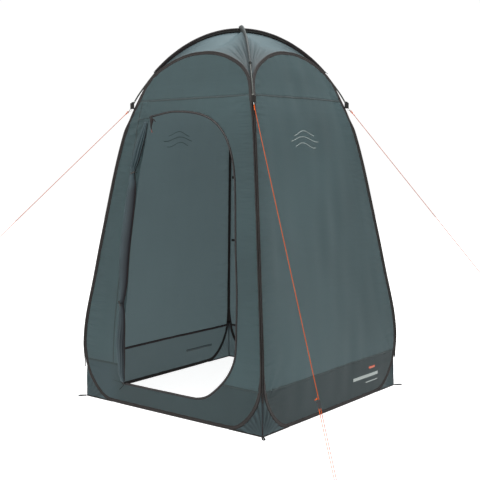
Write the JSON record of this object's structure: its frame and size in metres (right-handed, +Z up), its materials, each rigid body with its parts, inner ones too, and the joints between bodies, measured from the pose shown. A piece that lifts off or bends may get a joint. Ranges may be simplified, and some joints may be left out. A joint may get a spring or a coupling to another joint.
{
  "type": "privacy shower tent",
  "caption": "Tall square pop-up tent with an open arched doorway, rolled-back door, crossed roof poles and guy lines, for washing or changing in private.",
  "frame": {"origin": "centre of the footprint, on the ground", "axes": "+Z up, the doorway faces -Y, +X is to the right of someone looking in at the door"},
  "size_m": [2.2951, 2.0587, 1.9491],
  "materials": {
    "binding": "woven binding tape",
    "spring_steel": "spring wire",
    "lower_fabric": "coated polyester, matt",
    "wall_fabric": "coated polyester, plain weave",
    "roof_fabric": "coated polyester, plain weave",
    "pole_fibreglass": "drawn fibreglass rod",
    "sleeve_fabric": "woven tape",
    "socket_plastic": "moulded",
    "webbing": "ribbed webbing",
    "ring_steel": "polished wire",
    "black_cord": "braided cord",
    "guy_cord": "braided cord",
    "runner_plastic": "moulded",
    "zip_teeth": "coil zip",
    "zip_metal": "painted",
    "pull_webbing": "webbing",
    "toggle_plastic": "moulded"
  },
  "bodies": {
    "tent": {"corner_gusset_front_left": "lower_fabric", "corner_gusset_front_right": "lower_fabric", "corner_gusset_rear_left": "lower_fabric", "corner_gusset_rear_right": "lower_fabric", "door_surround": "wall_fabric", "door_zip": "zip_teeth", "front_foot_band": "lower_fabric", "front_left_strip": "wall_fabric", "front_top_panel": "wall_fabric", "guy_lashings": "black_cord", "guy_rings": "ring_steel", "guy_rope_front_left": "guy_cord", "guy_rope_front_right": "guy_cord", "guy_rope_rear_right": "guy_cord", "hoop_sleeve_front": "binding", "hoop_sleeve_left": "binding", "hoop_sleeve_rear": "binding", "hoop_sleeve_right": "binding", "hoop_wires": "spring_steel", "inner_ties": "webbing", "left_foot_band": "lower_fabric", "left_main_panel": "wall_fabric", "left_top_panel": "wall_fabric", "pole_sleeve_front_rear": "sleeve_fabric", "pole_sleeve_left_right": "sleeve_fabric", "pole_socket_front_left": "socket_plastic", "pole_socket_front_right": "socket_plastic", "pole_socket_rear_left": "socket_plastic", "pole_socket_rear_right": "socket_plastic", "pole_straps": "webbing", "rear_foot_band": "lower_fabric", "rear_main_panel": "wall_fabric", "rear_top_panel": "wall_fabric", "right_foot_band": "lower_fabric", "right_main_panel": "wall_fabric", "right_top_panel": "wall_fabric", "roof_gore_front": "roof_fabric", "roof_gore_left": "roof_fabric", "roof_gore_rear": "roof_fabric", "roof_gore_right": "roof_fabric", "roof_pole_front_rear": "pole_fibreglass", "roof_pole_left_right": "pole_fibreglass"},
    "rolled_door": {"door_roll": "wall_fabric", "door_tie_loops": "black_cord"},
    "door_toggle_lower": {"door_toggle_lower": "toggle_plastic"},
    "door_toggle_upper": {"door_toggle_upper": "toggle_plastic"},
    "guy_ring_rear_left": {"guy_ring_rear_left": "ring_steel"},
    "guy_runner_front_left": {"guy_runner_front_left": "runner_plastic"},
    "guy_runner_front_right": {"guy_runner_front_right": "runner_plastic"},
    "guy_runner_rear_right": {"guy_runner_rear_right": "runner_plastic"},
    "peg_loop_front_left": {"peg_loop_front_left": "webbing"},
    "peg_loop_front_right": {"peg_loop_front_right": "webbing"},
    "peg_loop_rear_left": {"peg_loop_rear_left": "webbing"},
    "peg_loop_rear_right": {"peg_loop_rear_right": "webbing"},
    "zip_pull_lower": {"zip_pull_lower": "pull_webbing"},
    "zip_pull_upper": {"zip_pull_upper": "pull_webbing"},
    "zip_slider_lower": {"zip_slider_lower": "zip_metal"},
    "zip_slider_upper": {"zip_slider_upper": "zip_metal"}
  },
  "joints": [
    {"name": "runner_slide_front_left", "type": "slide", "parent": "tent", "child": "guy_runner_front_left", "axis": [-0.5127, -0.5127, -0.6887], "range_m": [0, 0.1]},
    {"name": "runner_slide_front_right", "type": "slide", "parent": "tent", "child": "guy_runner_front_right", "axis": [0.4718, -0.3249, -0.8197], "range_m": [0, 0.3]},
    {"name": "runner_slide_rear_right", "type": "slide", "parent": "tent", "child": "guy_runner_rear_right", "axis": [0.4496, 0.4496, -0.7719], "range_m": [0, 0.1]},
    {"name": "zip_upper_run", "type": "hinge", "parent": "tent", "child": "zip_slider_upper", "pos_m": [-0.0873, -0.60481, 0.83765], "axis": [0.0002, 0.958, -0.2868], "range_deg": [0, 24]},
    {"name": "zip_lower_run", "type": "slide", "parent": "tent", "child": "zip_slider_lower", "axis": [1, 0, 0], "range_m": [0, 0.48]},
    {"name": "pull_upper_swing", "type": "hinge", "parent": "zip_slider_upper", "child": "zip_pull_upper", "pos_m": [-0.25335, -0.42353, 1.48486], "axis": [-1, 0, 0], "range_deg": [-8, 140]},
    {"name": "pull_lower_swing", "type": "hinge", "parent": "zip_slider_lower", "child": "zip_pull_lower", "pos_m": [-0.302, -0.61264, 0.114], "axis": [-1, 0, 0], "range_deg": [0, 140]},
    {"name": "rolled_door_swing", "type": "hinge", "parent": "tent", "child": "rolled_door", "pos_m": [-0.314, -0.60064, 0.114], "axis": [0.0312, 0.1361, 0.9902], "range_deg": [0, 60]},
    {"name": "toggle_lower_turn", "type": "hinge", "parent": "rolled_door", "child": "door_toggle_lower", "pos_m": [-0.3135, -0.61046, 0.52875], "axis": [0, -1, 0], "range_deg": [-60, 60]},
    {"name": "toggle_upper_turn", "type": "hinge", "parent": "rolled_door", "child": "door_toggle_upper", "pos_m": [-0.30549, -0.50795, 1.19489], "axis": [0, -1, 0], "range_deg": [-60, 60]},
    {"name": "peg_loop_rear_right_flap", "type": "hinge", "parent": "tent", "child": "peg_loop_rear_right", "pos_m": [0.60012, 0.60012, 0.003], "axis": [0.7071, -0.7071, 0], "range_deg": [0, 90]},
    {"name": "peg_loop_rear_left_flap", "type": "hinge", "parent": "tent", "child": "peg_loop_rear_left", "pos_m": [-0.60012, 0.60012, 0.003], "axis": [0.7071, 0.7071, 0], "range_deg": [0, 90]},
    {"name": "peg_loop_front_left_flap", "type": "hinge", "parent": "tent", "child": "peg_loop_front_left", "pos_m": [-0.60012, -0.60012, 0.003], "axis": [-0.7071, 0.7071, 0], "range_deg": [0, 90]},
    {"name": "peg_loop_front_right_flap", "type": "hinge", "parent": "tent", "child": "peg_loop_front_right", "pos_m": [0.60012, -0.60012, 0.003], "axis": [-0.7071, -0.7071, 0], "range_deg": [0, 90]},
    {"name": "ring_rear_left_swing", "type": "hinge", "parent": "tent", "child": "guy_ring_rear_left", "pos_m": [-0.41295, 0.41295, 1.5245], "axis": [0.7071, 0.7071, 0], "range_deg": [-15, 60]}
  ]
}
